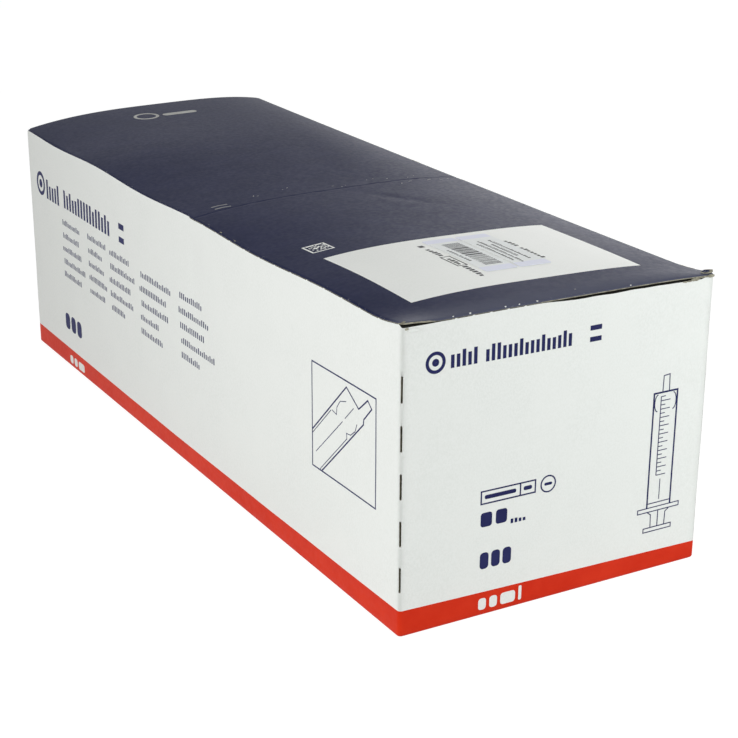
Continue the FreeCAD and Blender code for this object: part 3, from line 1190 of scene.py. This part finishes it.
def code_square(navy, white):
    """White square with a made-up pattern of small blocks."""
    u, v = CODE_CENTRE
    half = CODE_SIZE / 2
    pale = Print(on_lid)
    pale.bar(u - half, u + half, v - half, v + half)
    pale.make("code_square", white)
    pick = random.Random(CODE_SEED)
    cell = (CODE_SIZE - 2 * CODE_MARGIN) / CODE_CELLS
    sheet = Print(lambda a, b, lift: on_lid(a, b, lift + INK_HIGH))
    for row in range(CODE_CELLS):
        for column in range(CODE_CELLS):
            if 0 in (row, column) or pick.random() < CODE_DARK:
                a = u - half + CODE_MARGIN + column * cell
                b = v - half + CODE_MARGIN + row * cell
                sheet.bar(a, a + cell * CODE_FILL, b, b + cell * CODE_FILL)
    sheet.make("code_blocks", navy)


def lid_print(black):
    sheet = Print(on_lid)
    for k, row in enumerate(LID_ROWS):
        block_row(sheet, *row, upright=True, seed=21 + k)
    sheet.bar(*LID_BLOCK)
    outline_box(sheet, *LID_BOX, LID_BOX_LINE)
    sheet.make("lid_print", black)


def label_print(black):
    sheet = Print(on_label)
    pick = random.Random(BARCODE_SEED)
    y = BARCODE_Y[0]
    while y < BARCODE_Y[1]:
        width = pick.choice(BAR_WIDTHS)
        sheet.bar(*BARCODE_X, y, y + width)
        y += width + pick.choice(BAR_GAPS)
    block_row(sheet, *BARCODE_ROW, upright=True, seed=32)
    for k, (x, start, end) in enumerate(LABEL_LINES):
        block_row(sheet, start, end, x, x + LABEL_LINE_HEIGHT, *LABEL_BLOCKS, upright=True, seed=40 + k)
    sheet.make("label_print", black)


# Mark at the rear of the lid
REAR_RING = (-11.6, 178.1, 7.2, 1.7)
REAR_BAR = (-2.1, 18.2, 174.0, 179.0, 2.2)

# Marks of use. Scuffs are middle, length and turn in degrees
SCUFFS = (
    (-37.2, -12.2, 2.2, 60), (-35.4, -13.2, 1.2, 20), (-17.1, -7.0, 1.4, 40), (3.7, -13.9, 1.3, 10),
    (6.9, -17.0, 1.2, 80), (9.6, -15.4, 0.7, 0), (34.4, -12.1, 1.2, 30), (36.1, -23.3, 1.6, 60),
    (42.1, -20.8, 2.2, 15), (53.3, -20.1, 2.8, 25), (59.7, -20.8, 2.4, 100), (65.2, -18.4, 1.8, 20),
    (-20.5, -9.0, 0.6, 0), (24.0, -10.5, 0.6, 50), (50.0, -11.0, 0.7, 10), (28.0, -9.5, 0.5, 0),
    (45.5, -13.0, 0.6, 70), (6.6, -202.1, 0.7, 0),
)
SCUFF_LINE = 0.4
DOUBLE_SCUFF = (-16.4, -20.4)
DOUBLE_SCUFF_LINE = 1.1
DOUBLE_SCUFF_POINTS = ((-60.5, 0.0), (-56.8, 0.3), (-52.8, -0.5))
EDGE_RUBS = ((19.0, 27.0), (-194.0, -185.0))
EDGE_RUB_INSET = 0.7
EDGE_RUB = (0.3, 0.5, 0.05, 0.05)
SPECK_INSET = 0.2
SPECK_DEPTH = 0.6
SPECK_CURL = (0.05, 0.1)
SIDE_SPECK = (0.35, 0.9, 0.05, 0.1)
FIBRE = (1.2, 0.4, 0.05, 0.3)
FRONT_SPECKS = ((-50.8, 0.3), (-43.4, 0.5), (-27.9, 0.35), (-21.7, 0.35), (-13.6, 0.4), (30.4, 0.4))
SIDE_SPECKS = (-66.0, -52.0)
FIBRES = ((57.5, 123.4), (59.6, 123.4), (62.0, 123.4), (64.1, 124.2), (66.3, 124.2), (68.0, 124.2))
FLAKE_SIDES = 9
FLAKE_THICKNESS = 0.25

# Scraps: face, middle, half lengths, lift, curl and seed
WHITE_SCRAP = (on_front, -67.5, 123.4, 2.6, 0.9, 0.25, 0.6, 41)
NAVY_SCRAP = (on_lid, 69.0, 1.8 - HALF_LENGTH, 2.6, 1.4, 0.7, 0.6, 71)
RAW_SCRAPS = (
    (on_lid, 69.5, 1.5 - HALF_LENGTH, 3.4, 2.2, 0.5, 1.2, 61),
    (on_lid, 71.4, 2.6 - HALF_LENGTH, 0.9, 2.2, 0.15, 0.6, 62),
    (on_lid, 0.9 - HALF_WIDTH, 0.7 - HALF_LENGTH, 1.1, 0.6, 0.05, 0.2, 63),
    (on_front, 63.0, 123.7, 2.6, 0.8, 0.05, 0.2, 64),
    (on_front, -70.6, 124.0, 0.9, 0.6, 0.05, 0.15, 65),
    (on_front, 70.5, 124.3, 2.0, 0.8, 0.4, 0.5, 66),
)


def scuffs(material):
    """Small rubbed strokes beside the crease."""
    sheet = Print(on_lid)
    for x, y, size, turn in SCUFFS:
        angle = radians(turn)
        reach_x, reach_y = size / 2 * cos(angle), size / 2 * sin(angle)
        bend = (x + reach_x * 0.2, y + reach_y * 0.2 + 0.1)
        sheet.stroke([(x - reach_x, y - reach_y), bend, (x + reach_x, y + reach_y)], SCUFF_LINE)
    for y in DOUBLE_SCUFF:
        sheet.stroke([(x, y + off) for x, off in DOUBLE_SCUFF_POINTS], DOUBLE_SCUFF_LINE)
    sheet.make("scuffs", material)


def flake(sheet, place, u, v, reach_u, reach_v, lift, curl, seed):
    """Torn scrap of board: an uneven plate that curls away from its middle."""
    pick = random.Random(seed)
    base = len(sheet.points)
    rim = []
    for k in range(FLAKE_SIDES):
        angle = 2 * pi * k / FLAKE_SIDES
        size = pick.uniform(0.65, 1.1)
        rise = lift + curl * pick.uniform(0.4, 1.0) * (1 + cos(angle)) / 2
        rim.append((u + reach_u * size * cos(angle), v + reach_v * size * sin(angle), rise))
    for deep in (0.0, -FLAKE_THICKNESS):
        sheet.points.append(place(u, v, lift + deep))
        for a, b, rise in rim:
            sheet.points.append(place(a, b, rise + deep))
    low = base + FLAKE_SIDES + 1
    for k in range(FLAKE_SIDES):
        a, b = base + 1 + k, base + 1 + (k + 1) % FLAKE_SIDES
        c, d = low + 1 + k, low + 1 + (k + 1) % FLAKE_SIDES
        sheet.faces += [(base, a, b), (low, d, c), (a, c, d, b)]


def torn_edges(white, raw, navy):
    """Scraps at the nicks and at the two front corners of the lid."""
    pale = Print(on_lid)
    for k, (x, size) in enumerate(FRONT_SPECKS):
        flake(pale, on_lid, x, SPECK_INSET - HALF_LENGTH, size, SPECK_DEPTH * size, *SPECK_CURL, k)
    flake(pale, *WHITE_SCRAP)
    pale.make("torn_white", white)
    dark = Print(on_lid)
    flake(dark, *NAVY_SCRAP)
    dark.make("torn_navy", navy)
    dull = Print(on_lid)
    for k, y in enumerate(SIDE_SPECKS):
        flake(dull, on_lid, SPECK_INSET - HALF_WIDTH, y, *SIDE_SPECK, 50 + k)
    for scrap in RAW_SCRAPS:
        flake(dull, *scrap)
    for k, (x, z) in enumerate(FIBRES):
        flake(dull, on_front, x, z, *FIBRE, 80 + k)
    dull.make("torn_raw", raw)


def edge_rubs(material):
    """Rubs along the right long edge."""
    sheet = Print(on_lid)
    for start, end in EDGE_RUBS:
        for k in range(round(end - start)):
            flake(sheet, on_lid, HALF_WIDTH - EDGE_RUB_INSET, start + k, *EDGE_RUB, 90 + k)
    sheet.make("edge_rubs", material)


def rear_mark(material):
    """Plain ring and bar at the rear of the top."""
    sheet = Print(on_lid)
    sheet.ring(*REAR_RING)
    sheet.bar(*REAR_BAR)
    sheet.make("rear_mark", material)


# Scene

make_camera()
make_world()
make_floor()
for lamp in LAMPS:
    soft_light(*lamp)

white = white_board()
red = printed_ink("red_ink", (0.62, 0.024, 0.005, 1), (0.68, 0.034, 0.009, 1), 0.5, 0.1)
# The navy of the lid also takes worn spots and the painted sheen
navy = printed_ink("navy_ink", (0.013, 0.016, 0.046, 1), (0.018, 0.021, 0.056, 1), 0.48, 0.03, True)
raw = raw_board()
# Near black painted shade for the insides of the gaps and pinholes
inner = inner_shade_board()
fine_navy = printed_ink("fine_navy_ink", (0.012, 0.014, 0.075, 1), (0.018, 0.020, 0.095, 1), 0.55, 0.12)
black = printed_ink("black_ink", (0.03, 0.03, 0.033, 1), (0.05, 0.05, 0.053, 1), 0.6, 0.12)
silver = printed_ink("silver_ink", (0.38, 0.38, 0.36, 1), (0.48, 0.48, 0.46, 1), 0.45, 0.2)
rubbed = printed_ink("rubbed_ink", (0.20, 0.20, 0.21, 1), (0.30, 0.30, 0.30, 1), 0.6, 0.1)

boards = [white, red, navy, raw, inner]
shell = carton_mesh(boards)
cut_shell(shell, cutters(boards))
mark_wear_shade_and_sheen(shell)
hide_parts("carton")
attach(shell, "root")

paper = label_paper()
for node in ("barcode_label", "text_label"):
    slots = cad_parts[node].data.materials
    slots.clear()
    slots.append(paper)

front_print(fine_navy, white)
left_print(fine_navy, white)
code_square(navy, white)
lid_print(black)
label_print(black)
rear_mark(silver)
scuffs(rubbed)
torn_edges(white, raw, navy)
edge_rubs(raw)

scene = bpy.context.scene
scene.view_settings.view_transform = "Standard"
